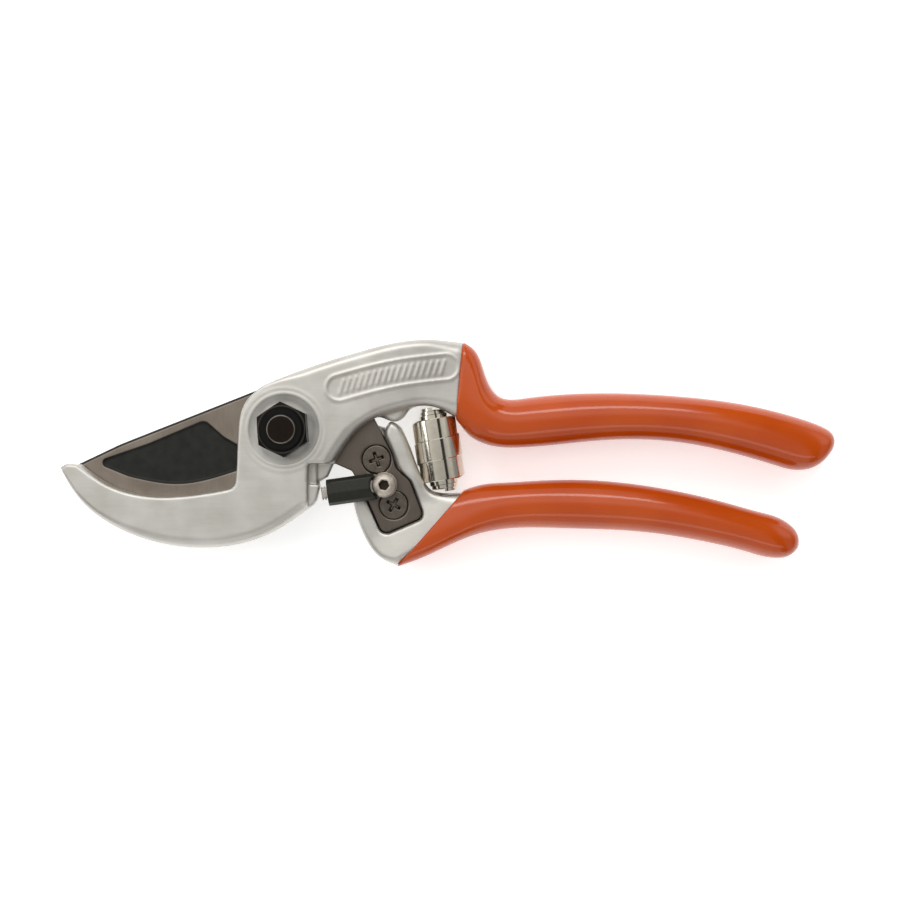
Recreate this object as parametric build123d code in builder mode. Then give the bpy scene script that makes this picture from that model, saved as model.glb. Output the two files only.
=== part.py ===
"""Bypass pruner, 21 cm: forged aluminium handles with a dipped coating, a screwed-on blade,
a volute spring and a strut catch. The origin is on the pivot axis, at the rear face of the
bolt head. +X runs to the end of the grips, +Y to the upper grip, and +Z to the front."""

import math
import os

from build123d import *

os.makedirs("parts", exist_ok=True)

# Levels along the pivot axis, from the rear of the tool to its front.
BOLT_HEAD_TOP = 3.0
REAR_WASHER_TOP = 3.4
LOWER_PLATE_TOP = 7.6
BLADE_TOP = 11.1
HEAD_REAR = 11.3
HEAD_FRONT = 17.3
SPOT_FACE = 16.6
NUT_TOP = 22.2
NUT_COLLAR_TOP = 23.2
BOLT_END = 24.0

# The pivot.
PIVOT_RADIUS = 4.0
BUSH_RADIUS = 5.5
RUNNING_FIT = 0.05
PRESS_GAP = 0.02
BUSH_END_GAP = 0.02
BOLT_HEAD_RADIUS = 8.2
SPANNER_HOLE_CIRCLE = 5.2
SPANNER_HOLE_RADIUS = 1.1
NUT_ACROSS_FLATS = 13.0
NUT_TURN = 94
NUT_CONE_RADIUS = 6.3
NUT_CONE_SLOPE = 1.2
NUT_COLLAR_RADIUS = 5.5
NUT_RING_RADIUS = 5.0
NUT_RING_REAR = 20.4
SPOT_FACE_RADIUS = 9.5
DISC_RADIUS = 11.2

# The M4 screws through the tang of the blade.
SCREW_RADIUS = 2.0
SCREW_CLEARANCE = 2.15
COUNTERSINK_RADIUS = 4.0
COUNTERSINK_DEPTH = 2.2
BLADE_SCREW_UPPER = (24.7, -8.1)
BLADE_SCREW_LOWER = (29.4, -20.6)
CATCH_CENTRE = (27.05, -15.0)
SCREW_END = REAR_WASHER_TOP + 0.3

# The catch: a steel lever in a plastic sleeve, lying 8 degrees below the X axis.
LEVER_REAR = 13.0
LEVER_FRONT = 15.0
LEVER_ANGLE = 188
LEVER_LENGTH = 17.0
LEVER_WIDTH = 3.8
LEVER_EYE_RADIUS = 3.6
SLEEVE_REAR = 12.2
SLEEVE_FRONT = 17.4
SLEEVE_WIDTH = 7.3
SLEEVE_NEAR_END = 1.5
SLEEVE_FAR_END = 15.6
SLEEVE_RECESS_RADIUS = 4.6
CATCH_HEAD_RADIUS = 3.3
CATCH_HEAD_TOP = 17.5
WAVE_WASHER = 0.3

# The lower handle's cheek and rib, and the hollow in the blade.
CHEEK_FRONT = 11.9
RIB_FRONT = 13.0
BLADE_HOLLOW = 0.5

# The dipped grips: their middle plane and the thickness of the coating.
GRIP_MIDDLE = 8.0
COATING = 1.2

# The volute spring between its two seats, in the middle plane of the grips.
SPRING_UPPER_SEAT = (39.9, 6.3)
SPRING_LOWER_SEAT = (43.6, -17.0)
SPRING_END_RADIUS = 3.6
SPRING_RADIUS = 6.35
SPRING_WALL = 1.3
SEAT_LEAD = 2.5

# Each station of a grip: a point on its upper edge, one on its lower edge, its depth along Z.
UPPER_GRIP_STATIONS = [
    ((48.5, 24.3), (46.6, 3.2), 13.6),
    ((52.2, 21.6), (48.2, 1.0), 14.6),
    ((54.3, 17.0), (50.4, -1.6), 15.4),
    ((56.2, 11.4), (53.8, -3.4), 15.8),
    ((61.6, 8.9), (61.0, -4.8), 15.8),
    ((75.5, 9.8), (75.2, -3.8), 15.8),
    ((92.2, 10.3), (92.0, -2.7), 15.8),
    ((109.6, 9.3), (108.2, -3.3), 15.8),
    ((127.2, 7.0), (124.0, -6.3), 15.8),
    ((140.4, 3.7), (135.6, -10.0), 15.8),
    ((147.8, 1.1), (141.6, -11.1), 15.4),
    ((150.8, -2.0), (146.2, -9.9), 11.0),
]
LOWER_GRIP_STATIONS = [
    ((48.6, -16.7), (30.2, -37.7), 13.6),
    ((54.2, -15.1), (39.6, -34.0), 15.0),
    ((60.4, -14.6), (51.0, -29.4), 15.8),
    ((69.0, -13.9), (63.6, -27.8), 15.8),
    ((82.0, -13.8), (79.6, -27.2), 15.8),
    ((98.0, -15.2), (95.6, -27.9), 15.8),
    ((115.0, -18.5), (111.4, -30.2), 15.8),
    ((128.4, -22.0), (124.0, -32.9), 15.8),
    ((136.8, -24.6), (132.6, -35.2), 15.4),
    ((140.6, -27.8), (138.2, -34.9), 11.0),
]

# The tang of the blade, from its top corner down beside the rib, round its foot and back up
# to the pivot, with the radius of each corner on the way.
TANG_CORNERS = [(24.0, 3.3), (28.7, -5.8), (30.2, -10.6), (34.0, -14.0), (37.7, -23.9),
                (26.4, -28.8), (22.4, -19.7), (17.9, -11.3), (13.3, -9.3)]
TANG_RADII = [8.0, 2.5, 2.5, 2.0, 2.2, 6.0, 1.0]

# The blade's cutting edge, from its heel under the head to the tip.
CUTTING_EDGE = [(-6.5, -14.2), (-16.0, -19.4), (-28.0, -21.4), (-40.0, -20.2), (-50.0, -16.2),
                (-58.3, -10.0)]


def station_plane(upper, lower):
    """The plane of a grip's section: local X runs from its lower edge to its upper edge."""
    across = Vector(upper[0] - lower[0], upper[1] - lower[1], 0).normalized()
    middle = ((upper[0] + lower[0]) / 2, (upper[1] + lower[1]) / 2, GRIP_MIDDLE)
    return Plane(origin=middle, x_dir=across, z_dir=across.cross(Vector(0, 0, -1)))


def grip_form(stations):
    """A grip's outer form, as a loft through its stations."""
    with BuildPart() as form:
        for upper, lower, depth in stations:
            with BuildSketch(station_plane(upper, lower)):
                Ellipse(math.dist(upper, lower) / 2, depth / 2)
        loft()
    return form.part


def grip_core(stations):
    """The handle inside a grip: its form less the coating, cut short of the grip's end."""
    with BuildPart() as core:
        for upper, lower, depth in stations:
            with BuildSketch(station_plane(upper, lower)):
                Ellipse(math.dist(upper, lower) / 2 - COATING, depth / 2 - COATING)
        loft()
        split(bisect_by=station_plane(*stations[-2][:2]), keep=Keep.TOP)
    return core.part


def plain_cylinder(centre, radius, bottom, top):
    """A plain round hole or shank: a cylinder standing on the given level."""
    with BuildPart() as cylinder:
        with BuildSketch(Plane(origin=(*centre, bottom))):
            Circle(radius)
        extrude(amount=top - bottom)
    return cylinder.part


def countersunk_screw(centre, turn):
    """An M4 countersunk screw with a cross recess, its head flush with the tang."""
    head = Plane(origin=(*centre, BLADE_TOP))
    with BuildPart() as screw:
        with BuildSketch(Plane(origin=(*centre, SCREW_END))):
            Circle(SCREW_RADIUS)
        extrude(amount=BLADE_TOP - SCREW_END)
        with BuildSketch(head):
            Circle(COUNTERSINK_RADIUS - RUNNING_FIT)
        with BuildSketch(head.offset(-COUNTERSINK_DEPTH + RUNNING_FIT)):
            Circle(SCREW_RADIUS)
        loft()
        with BuildSketch(head.rotated((0, 0, turn))):
            Rectangle(4.4, 0.9)
            Rectangle(0.9, 4.4)
        extrude(amount=-1.4, mode=Mode.SUBTRACT)
    return screw.part


def countersink(centre):
    """The hole that a countersunk screw sits in."""
    head = Plane(origin=(*centre, BLADE_TOP))
    with BuildPart() as hole:
        with BuildSketch(head):
            Circle(COUNTERSINK_RADIUS)
        with BuildSketch(head.offset(-COUNTERSINK_DEPTH)):
            Circle(SCREW_CLEARANCE)
        loft()
        with BuildSketch(head):
            Circle(SCREW_CLEARANCE)
        extrude(amount=-BLADE_TOP + LOWER_PLATE_TOP)
    return hole.part


def tang_recess(gap):
    """The recess that the tang sits in, a little wider than the tang."""
    with BuildPart() as recess:
        with BuildSketch(Plane.XY.offset(LOWER_PLATE_TOP)):
            with BuildLine():
                around = FilletPolyline(*TANG_CORNERS, radius=TANG_RADII)
                Line(around @ 1, around @ 0)
            make_face()
            offset(amount=gap, kind=Kind.ARC)
        extrude(amount=RIB_FRONT)
    return recess.part


def spring_seat(seat, far_seat, depth):
    """A round pocket for an end coil of the spring, along the spring's axis."""
    inward = Vector(seat[0] - far_seat[0], seat[1] - far_seat[1], 0).normalized()
    with BuildPart() as pocket:
        with BuildSketch(Plane(origin=(*seat, GRIP_MIDDLE), z_dir=inward).offset(-SEAT_LEAD)):
            Circle(SPRING_END_RADIUS + 0.5)
        extrude(amount=SEAT_LEAD + depth)
    return pocket.part


# ---------------------------------------------------------------- upper handle and its grip
upper_form = grip_form(UPPER_GRIP_STATIONS)
upper_core = grip_core(UPPER_GRIP_STATIONS)

with BuildPart() as upper_handle:
    with BuildSketch():
        with BuildLine():
            back = Spline((-60.2, -10.7), (-57.4, -16.8), (-50.4, -23.3), (-39.8, -29.3),
                          (-21.5, -32.1), (-4.2, -28.4), (6.4, -21.4))
            Polyline(back @ 1, (7.6, -20.6), (8.55, -19.2), (9.45, -15.6), (9.0, -14.2),
                     (11.3, -12.4), (13.0, -9.5))
            arch = Spline((13.0, -9.5), (16.3, -4.0), (22.2, 2.0), (31.0, 5.6), (39.5, 6.6),
                          UPPER_GRIP_STATIONS[0][1])
            dip = Line(arch @ 1, UPPER_GRIP_STATIONS[0][0])
            crown = Spline(dip @ 1, (38.0, 24.8), (20.4, 21.3), (1.3, 15.0), (-5.9, 11.8))
            cheek = Spline(crown @ 1, (-10.6, 7.2), (-12.5, -2.6), (-13.1, -13.0),
                           (-18.3, -16.8), (-33.0, -18.3), (-47.8, -15.2), (-55.7, -9.9))
            Polyline(cheek @ 1, (-58.8, -9.6), back @ 0)
        make_face()
    extrude(amount=HEAD_FRONT)
    # Seen from the side, the head is a plate, and the arm gets thicker towards the grip.
    with BuildSketch(Plane.XZ):
        with BuildLine():
            Polyline((-70, HEAD_REAR), (25.5, HEAD_REAR), (35, 3.4), (52, 1.0), (52, 15.2),
                     (30, HEAD_FRONT), (-70, HEAD_FRONT), close=True)
        make_face()
    extrude(amount=60, both=True, mode=Mode.INTERSECT)
    # The lug that the rib of the lower handle stops against.
    with BuildSketch(Plane.XY.offset(6.0)):
        with Locations((29.4, 5.9)):
            Circle(3.4)
    extrude(amount=7.0)
    # The notch in front of the lip that the catch bears on.
    with BuildSketch(Plane.XY.offset(12.8)):
        with BuildLine():
            Polyline((6.4, -9.3), (14.0, -9.3), (14.0, -14.8), (6.4, -14.8), close=True)
        make_face()
    extrude(amount=6.0, mode=Mode.SUBTRACT)
    with BuildSketch(Plane.XY.offset(15.6)):
        with BuildLine():
            Polyline((6.4, -14.8), (14.0, -14.8), (14.0, -23.0), (6.4, -23.0), close=True)
        make_face()
    extrude(amount=3.0, mode=Mode.SUBTRACT)
    # The spot face and the hole of the pivot bolt.
    with BuildSketch(Plane.XY.offset(SPOT_FACE)):
        Circle(SPOT_FACE_RADIUS)
    extrude(amount=3.0, mode=Mode.SUBTRACT)
    with BuildSketch(Plane.XY.offset(HEAD_REAR)):
        Circle(PIVOT_RADIUS + RUNNING_FIT)
    extrude(amount=8.0, mode=Mode.SUBTRACT)
    add(spring_seat(SPRING_UPPER_SEAT, SPRING_LOWER_SEAT, 1.6), mode=Mode.SUBTRACT)
    add(upper_core)
upper_handle.part.label = "upper_handle"

with BuildPart() as upper_grip:
    add(upper_form)
    add(upper_core, mode=Mode.SUBTRACT)
upper_grip.part.label = "upper_grip"

# ---------------------------------------------------------------- lower handle and its grip
lower_form = grip_form(LOWER_GRIP_STATIONS)
lower_core = grip_core(LOWER_GRIP_STATIONS)
dip_upper, dip_lower = LOWER_GRIP_STATIONS[0][:2]

with BuildPart() as rib:
    with BuildSketch(Plane.XY.offset(LOWER_PLATE_TOP)):
        with BuildLine():
            Spline((29.2, -0.2), (31.5, -5.4), (34.0, -11.4), (36.8, -16.4))
        trace(line_width=3.6)
    extrude(amount=RIB_FRONT - LOWER_PLATE_TOP)
    fillet(rib.faces().sort_by(Axis.Z)[-1].edges(), radius=0.9)

with BuildPart() as lower_handle:
    with BuildSketch(Plane.XY.offset(0.5)):
        with BuildLine():
            rib_top = ThreePointArc((26.6, 0.2), (28.7, 2.3), (31.2, 1.1))
            rib_back = Spline(rib_top @ 1, (33.8, -4.5), (37.0, -12.5), (39.3, -16.1),
                              (43.2, -17.45), dip_upper)
            dip = Line(rib_back @ 1, dip_lower)
            heel = Spline(dip @ 1, (25.5, -34.9), (21.3, -29.4), (18.5, -20.8))
            Polyline(heel @ 1, (17.4, -14.6), (20.5, -13.0), rib_top @ 0)
        make_face()
    extrude(amount=15.0)
    # Seen along the dip line, the cheek gets thicker towards the grip.
    dip_line = Vector(*dip_upper) - Vector(*dip_lower)
    with BuildSketch(Plane(origin=dip_lower, x_dir=dip_line.rotate(Axis.Z, 90), z_dir=dip_line)):
        with BuildLine():
            Polyline((-1, 1.3), (10, REAR_WASHER_TOP), (60, REAR_WASHER_TOP), (60, CHEEK_FRONT),
                     (6, CHEEK_FRONT), (-1, 14.6), close=True)
        make_face()
    extrude(amount=80, both=True, mode=Mode.INTERSECT)
    add(rib.part)
    # The pivot disc and the web that joins it to the cheek.
    with BuildSketch(Plane.XY.offset(REAR_WASHER_TOP)):
        Circle(DISC_RADIUS)
        with BuildLine():
            Polyline((2.0, 11.0), (22.5, 2.2), (28.0, 0.4), (28.0, -12.0), (18.2, -13.8),
                     (18.4, -10.6), (13.0, -8.0), (2.0, -11.0), close=True)
        make_face()
    extrude(amount=LOWER_PLATE_TOP - REAR_WASHER_TOP)
    # The recess for the tang of the blade, and the holes behind it.
    add(tang_recess(0.3), mode=Mode.SUBTRACT)
    add(plain_cylinder((0, 0), BUSH_RADIUS + PRESS_GAP, 0, BLADE_TOP), mode=Mode.SUBTRACT)
    for centre in (BLADE_SCREW_UPPER, BLADE_SCREW_LOWER, CATCH_CENTRE):
        add(plain_cylinder(centre, SCREW_RADIUS + PRESS_GAP, 0, BLADE_TOP), mode=Mode.SUBTRACT)
    add(spring_seat(SPRING_LOWER_SEAT, SPRING_UPPER_SEAT, 1.0), mode=Mode.SUBTRACT)
    add(lower_core)
lower_handle.part.label = "lower_handle"

with BuildPart() as lower_grip:
    add(lower_form)
    add(lower_core, mode=Mode.SUBTRACT)
lower_grip.part.label = "lower_grip"

# ---------------------------------------------------------------- blade
# What is ground off the rear side along the cutting edge.
with BuildPart() as bevel:
    with BuildLine(Plane.XY.offset(LOWER_PLATE_TOP)):
        bevel_path = Spline(*CUTTING_EDGE)
    with BuildSketch(Plane(origin=bevel_path @ 0, x_dir=(0, 0, 1), z_dir=bevel_path % 0)):
        with BuildLine():
            Polyline((-0.5, 6.0), (0, 5.4), (2.9, 0), (2.9, -1.5), (-0.5, -1.5), close=True)
        make_face()
    sweep(path=bevel_path, normal=(0, 0, 1))

with BuildPart() as cutting_blade:
    with BuildSketch(Plane.XY.offset(LOWER_PLATE_TOP)):
        with BuildLine():
            FilletPolyline(*TANG_CORNERS, radius=TANG_RADII)
            ThreePointArc(TANG_CORNERS[-1], (3.0, -12.2), CUTTING_EDGE[0])
            edge = Spline(*CUTTING_EDGE)
            spine = Spline(edge @ 1, (-45.9, -3.85), (-23.9, 5.0), (-6.8, 11.7))
            Spline(spine @ 1, (3.0, 12.6), (14.0, 8.6), TANG_CORNERS[0])
        make_face()
    extrude(amount=BLADE_TOP - LOWER_PLATE_TOP)
    add(bevel.part, mode=Mode.SUBTRACT)
    # The shallow coated hollow in the front of the blade.
    with BuildSketch(Plane.XY.offset(BLADE_TOP - BLADE_HOLLOW)):
        with BuildLine():
            top = Spline((-50.2, -8.0), (-37.7, -3.9), (-26.0, 1.2), (-21.5, 1.9),
                         (-16.0, -2.2), (-8.0, -7.0))
            low = Spline(top @ 1, (-13.8, -11.0), (-26.6, -14.3), (-38.0, -13.9),
                         (-48.6, -10.9), top @ 0)
        make_face()
    extrude(amount=BLADE_HOLLOW, mode=Mode.SUBTRACT)
    add(plain_cylinder((0, 0), BUSH_RADIUS + PRESS_GAP, 0, HEAD_REAR), mode=Mode.SUBTRACT)
    add(plain_cylinder(CATCH_CENTRE, SCREW_CLEARANCE, 0, HEAD_REAR), mode=Mode.SUBTRACT)
    add(countersink(BLADE_SCREW_UPPER), mode=Mode.SUBTRACT)
    add(countersink(BLADE_SCREW_LOWER), mode=Mode.SUBTRACT)
cutting_blade.part.label = "cutting_blade"

blade_screw_upper = countersunk_screw(BLADE_SCREW_UPPER, 12)
blade_screw_upper.label = "blade_screw_upper"
blade_screw_lower = countersunk_screw(BLADE_SCREW_LOWER, 8)
blade_screw_lower.label = "blade_screw_lower"

# ---------------------------------------------------------------- pivot
with BuildPart() as pivot_bolt:
    with BuildSketch():
        Circle(BOLT_HEAD_RADIUS)
    extrude(amount=BOLT_HEAD_TOP)
    chamfer(pivot_bolt.edges().sort_by(Axis.Z)[0], length=0.8)
    # Two holes for a pin spanner.
    with BuildSketch():
        with PolarLocations(SPANNER_HOLE_CIRCLE, 2):
            Circle(SPANNER_HOLE_RADIUS)
    extrude(amount=1.4, mode=Mode.SUBTRACT)
    add(plain_cylinder((0, 0), PIVOT_RADIUS, BOLT_HEAD_TOP, BOLT_END))
    chamfer(pivot_bolt.edges().sort_by(Axis.Z)[-1], length=0.6)
pivot_bolt.part.label = "pivot_bolt"

with BuildPart() as pivot_nut:
    with BuildSketch(Plane.XY.offset(SPOT_FACE)):
        RegularPolygon(NUT_ACROSS_FLATS / 2, 6, major_radius=False, rotation=NUT_TURN)
    extrude(amount=NUT_TOP - SPOT_FACE)
    # The chamfer that rounds the corners of the hexagon.
    with BuildSketch(Plane.XY.offset(SPOT_FACE)):
        Circle(NUT_CONE_RADIUS + (NUT_TOP - SPOT_FACE) * NUT_CONE_SLOPE)
    with BuildSketch(Plane.XY.offset(NUT_TOP)):
        Circle(NUT_CONE_RADIUS)
    loft(mode=Mode.INTERSECT)
    with BuildSketch(Plane.XY.offset(NUT_TOP)):
        Circle(NUT_COLLAR_RADIUS)
    extrude(amount=NUT_COLLAR_TOP - NUT_TOP)
    add(plain_cylinder((0, 0), PIVOT_RADIUS + PRESS_GAP, 0, BOLT_END), mode=Mode.SUBTRACT)
    add(plain_cylinder((0, 0), NUT_RING_RADIUS, NUT_RING_REAR, BOLT_END), mode=Mode.SUBTRACT)
pivot_nut.part.label = "pivot_nut"


def plain_ring(label, radius, hole, bottom, top):
    """A washer or a bush round the pivot."""
    with BuildPart() as ring:
        with BuildSketch(Plane.XY.offset(bottom)):
            Circle(radius)
            Circle(hole, mode=Mode.SUBTRACT)
        extrude(amount=top - bottom)
    ring.part.label = label
    return ring.part


pivot_lock_ring = plain_ring("pivot_lock_ring", NUT_RING_RADIUS, PIVOT_RADIUS + PRESS_GAP,
                             NUT_RING_REAR, NUT_COLLAR_TOP)
pivot_bush = plain_ring("pivot_bush", BUSH_RADIUS, PIVOT_RADIUS + RUNNING_FIT,
                        REAR_WASHER_TOP + BUSH_END_GAP, BLADE_TOP - BUSH_END_GAP)
friction_washer = plain_ring("friction_washer", 9.0, PIVOT_RADIUS + RUNNING_FIT,
                             BLADE_TOP, HEAD_REAR)
rear_washer = plain_ring("rear_washer", 9.0, PIVOT_RADIUS + RUNNING_FIT,
                         BOLT_HEAD_TOP, REAR_WASHER_TOP)

# ---------------------------------------------------------------- catch
lever_plane = Plane(origin=(*CATCH_CENTRE, LEVER_REAR)).rotated((0, 0, LEVER_ANGLE))
with BuildPart() as catch_lever:
    with BuildSketch(lever_plane):
        Circle(LEVER_EYE_RADIUS)
        with Locations((LEVER_LENGTH / 2, 0)):
            RectangleRounded(LEVER_LENGTH, LEVER_WIDTH, 0.8)
        Circle(SCREW_CLEARANCE, mode=Mode.SUBTRACT)
    extrude(amount=LEVER_FRONT - LEVER_REAR)
catch_lever.part.label = "catch_lever"

lever_way = Vector(1, 0, 0).rotate(Axis.Z, LEVER_ANGLE)
near_end = Vector(*CATCH_CENTRE) + lever_way * SLEEVE_NEAR_END
half = SLEEVE_WIDTH / 2
with BuildPart() as catch_sleeve:
    with BuildSketch(Plane(origin=near_end, x_dir=(0, 0, 1), z_dir=lever_way)):
        with BuildLine():
            Polyline((SLEEVE_REAR, half), (SLEEVE_FRONT - 1.2, half), (SLEEVE_FRONT, half - 1.4),
                     (SLEEVE_FRONT, 1.4 - half), (SLEEVE_FRONT - 1.2, -half),
                     (SLEEVE_REAR, -half), close=True)
        make_face()
    extrude(amount=SLEEVE_FAR_END - SLEEVE_NEAR_END)
    with BuildSketch(lever_plane.offset(SLEEVE_REAR - LEVER_REAR)):
        Circle(SLEEVE_RECESS_RADIUS)
    extrude(amount=SLEEVE_FRONT, mode=Mode.SUBTRACT)
    with BuildSketch(lever_plane):
        with Locations((LEVER_LENGTH / 2, 0)):
            Rectangle(LEVER_LENGTH, LEVER_WIDTH)
    extrude(amount=LEVER_FRONT - LEVER_REAR, mode=Mode.SUBTRACT)
catch_sleeve.part.label = "catch_sleeve"

with BuildPart() as catch_screw:
    add(plain_cylinder(CATCH_CENTRE, SCREW_RADIUS, SCREW_END, LEVER_FRONT + WAVE_WASHER))
    with BuildSketch(Plane(origin=(*CATCH_CENTRE, LEVER_FRONT + WAVE_WASHER))):
        Circle(CATCH_HEAD_RADIUS)
    extrude(amount=CATCH_HEAD_TOP - LEVER_FRONT - WAVE_WASHER)
    fillet(catch_screw.edges().sort_by(Axis.Z)[-1], radius=1.3)
    with BuildSketch(Plane(origin=(*CATCH_CENTRE, CATCH_HEAD_TOP))):
        RegularPolygon(1.25, 6, major_radius=False)
    extrude(amount=-1.3, mode=Mode.SUBTRACT)
catch_screw.part.label = "catch_screw"


def catch_ring(label, radius, hole, bottom, top):
    """A bush or washer on the catch's screw."""
    with BuildPart() as ring:
        with BuildSketch(Plane(origin=(*CATCH_CENTRE, bottom))):
            Circle(radius)
            Circle(hole, mode=Mode.SUBTRACT)
        extrude(amount=top - bottom)
    ring.part.label = label
    return ring.part


catch_spacer = catch_ring("catch_spacer", 3.4, SCREW_RADIUS + PRESS_GAP, BLADE_TOP, LEVER_REAR)
catch_washer = catch_ring("catch_washer", 3.1, SCREW_RADIUS + PRESS_GAP, LEVER_FRONT,
                          LEVER_FRONT + WAVE_WASHER)

# ---------------------------------------------------------------- spring
spring_length = math.dist(SPRING_UPPER_SEAT, SPRING_LOWER_SEAT)
spring_axis = Vector(*SPRING_LOWER_SEAT) - Vector(*SPRING_UPPER_SEAT)
with BuildPart() as volute_spring:
    with BuildSketch(Plane(origin=(*SPRING_UPPER_SEAT, GRIP_MIDDLE), x_dir=spring_axis,
                           z_dir=(0, 0, 1))):
        with BuildLine():
            start, end = -1.2, spring_length + 0.6
            Polyline((start, SPRING_END_RADIUS), (3.6, SPRING_END_RADIUS),
                     (4.4, SPRING_RADIUS - 0.8), (8.6, SPRING_RADIUS - 0.8),
                     (8.8, SPRING_RADIUS), (14.6, SPRING_RADIUS), (14.8, SPRING_RADIUS - 0.8),
                     (19.0, SPRING_RADIUS - 0.8), (20.2, SPRING_END_RADIUS),
                     (end, SPRING_END_RADIUS), (end, SPRING_END_RADIUS - SPRING_WALL),
                     (start, SPRING_END_RADIUS - SPRING_WALL), close=True)
        make_face()
    revolve(axis=Axis((*SPRING_UPPER_SEAT, GRIP_MIDDLE), spring_axis))
volute_spring.part.label = "volute_spring"

pieces = [
    upper_handle.part, upper_grip.part, lower_handle.part, lower_grip.part, cutting_blade.part,
    blade_screw_upper, blade_screw_lower, pivot_bolt.part, pivot_nut.part, pivot_lock_ring,
    pivot_bush, friction_washer, rear_washer, catch_lever.part, catch_sleeve.part,
    catch_screw.part, catch_spacer, catch_washer, volute_spring.part,
]
for piece in pieces:
    export_step(piece, f"parts/{piece.label}.step")
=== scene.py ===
"""The looks of the bypass pruner. The forgings, the blade, the small screws, the catch, the grips
and the spring are fine meshes over the CAD frame. The nut, bolt, bush, lock ring and washers are
the frame's own, with finer materials.
Shapes are worked out in millimetres, in the frame's axes, and written in metres."""
import math

import bpy
import numpy as np
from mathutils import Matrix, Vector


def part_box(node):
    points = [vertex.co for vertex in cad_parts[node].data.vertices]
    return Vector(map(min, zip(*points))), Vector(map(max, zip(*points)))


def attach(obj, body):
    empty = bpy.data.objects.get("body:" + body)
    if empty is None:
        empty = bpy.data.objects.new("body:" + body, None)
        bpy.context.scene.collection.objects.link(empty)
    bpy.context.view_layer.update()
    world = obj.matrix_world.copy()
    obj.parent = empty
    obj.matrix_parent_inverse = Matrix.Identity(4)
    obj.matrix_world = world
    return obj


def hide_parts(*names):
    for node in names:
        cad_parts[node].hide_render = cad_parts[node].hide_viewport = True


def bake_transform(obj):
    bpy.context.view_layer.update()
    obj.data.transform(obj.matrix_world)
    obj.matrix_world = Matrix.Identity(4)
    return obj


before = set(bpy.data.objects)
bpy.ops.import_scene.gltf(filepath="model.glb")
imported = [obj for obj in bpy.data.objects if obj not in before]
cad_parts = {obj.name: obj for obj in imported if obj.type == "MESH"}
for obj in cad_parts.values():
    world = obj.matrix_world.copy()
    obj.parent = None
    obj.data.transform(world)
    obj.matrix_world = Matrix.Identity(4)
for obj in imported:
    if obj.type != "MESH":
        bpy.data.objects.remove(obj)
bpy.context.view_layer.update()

import openvdb

MM = 0.001

# Levels along the pivot axis, as the frame has them.
HEAD_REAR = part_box("friction_washer")[1][2] / MM
HEAD_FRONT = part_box("upper_handle")[1][2] / MM
BLADE_REAR, BLADE_FRONT = (corner[2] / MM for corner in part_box("cutting_blade"))
PLATE_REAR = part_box("rear_washer")[1][2] / MM
GRIP_MIDDLE = 8.0
CHEEK_FRONT = 11.9
SHANK_END = 4.6
SLEEVE_REAR = 12.2
LEVER_REAR = 13.0
LEVER_FRONT = 15.0
BUTTON_TOP = 17.5

# Radii, and places in the plane of the tool.
BOLT_HOLE = 4.05
BUSH_HOLE = 5.52
DISC_RADIUS = 11.2
SPOT_RADIUS = 9.4
SCREWS = [(24.7, -8.1), (29.4, -20.6)]
CATCH = (27.05, -15.0)
CATCH_ANGLE = math.radians(188)
SCREW_HOLE = 2.05
SHANK_RADIUS = 1.95
COUNTERSUNK_RADIUS = 3.9
BUTTON_RADIUS = 3.3
SPRING_TOP = np.array([39.9, 6.3])
SPRING_FOOT = np.array([43.6, -17.0])
SEAT_RADIUS = 4.2
SEAT_REACH = 4.0

# The slope of a countersink, as radius lost for each unit of depth, and the share of that sideways
# distance that is square to its surface.
SINK_SLOPE = 0.86
SINK_SQUARE = 0.76

# Fine working values of the fields and meshes.
ARC_POINTS = 9
FAR_AWAY = 1e9
FIELD_BACKGROUND = 1000.0
RELAX_STEPS = (0.5, -0.52)


# ------------------------------------------------------------------ curves and fields
def smooth(points, step=0.5):
    """Closely spaced points of the natural cubic spline through the given ones."""
    points = np.array(points, float)
    n = len(points)
    knots = np.concatenate([[0], np.cumsum(np.linalg.norm(np.diff(points, axis=0), axis=1))])
    gaps = np.diff(knots)
    system = np.eye(n)
    target = np.zeros(points.shape)
    for i in range(1, n - 1):
        system[i, i - 1:i + 2] = gaps[i - 1], 2 * (gaps[i - 1] + gaps[i]), gaps[i]
        slopes = (points[i + 1] - points[i]) / gaps[i] - (points[i] - points[i - 1]) / gaps[i - 1]
        target[i] = 6 * slopes
    bends = np.linalg.solve(system, target)
    where = np.linspace(0, knots[-1], int(knots[-1] / step) + 2)
    i = np.clip(np.searchsorted(knots, where) - 1, 0, n - 2)
    gap = gaps[i][:, None]
    after = (where - knots[i])[:, None]
    before = gap - after
    return (
        (bends[i] * before**3 + bends[i + 1] * after**3) / (6 * gap)
        + (points[i] / gap - bends[i] * gap / 6) * before
        + (points[i + 1] / gap - bends[i + 1] * gap / 6) * after
    )


def rounded(corners, radii):
    """A run of straight edges with an arc at each corner between the first and the last."""
    corners = [np.array(c, float) for c in corners]
    path = [corners[0]]
    for before, corner, after, radius in zip(corners, corners[1:], corners[2:], radii):
        inward = (before - corner) / np.linalg.norm(before - corner)
        outward = (after - corner) / np.linalg.norm(after - corner)
        half = math.acos(np.clip(inward @ outward, -1, 1)) / 2
        start = corner + inward * radius / math.tan(half)
        end = corner + outward * radius / math.tan(half)
        middle = inward + outward
        centre = corner + middle / np.linalg.norm(middle) * radius / math.sin(half)
        for share in np.linspace(0, 1, ARC_POINTS):
            arm = (start - centre) * (1 - share) + (end - centre) * share
            path.append(centre + arm / np.linalg.norm(arm) * radius)
    path.append(corners[-1])
    return np.array(path)


def smoothstep(low, high, value):
    """0 below low, 1 above high, and a smooth rise between."""
    share = np.clip((value - low) / (high - low), 0, 1)
    return share * share * (3 - 2 * share)


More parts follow.
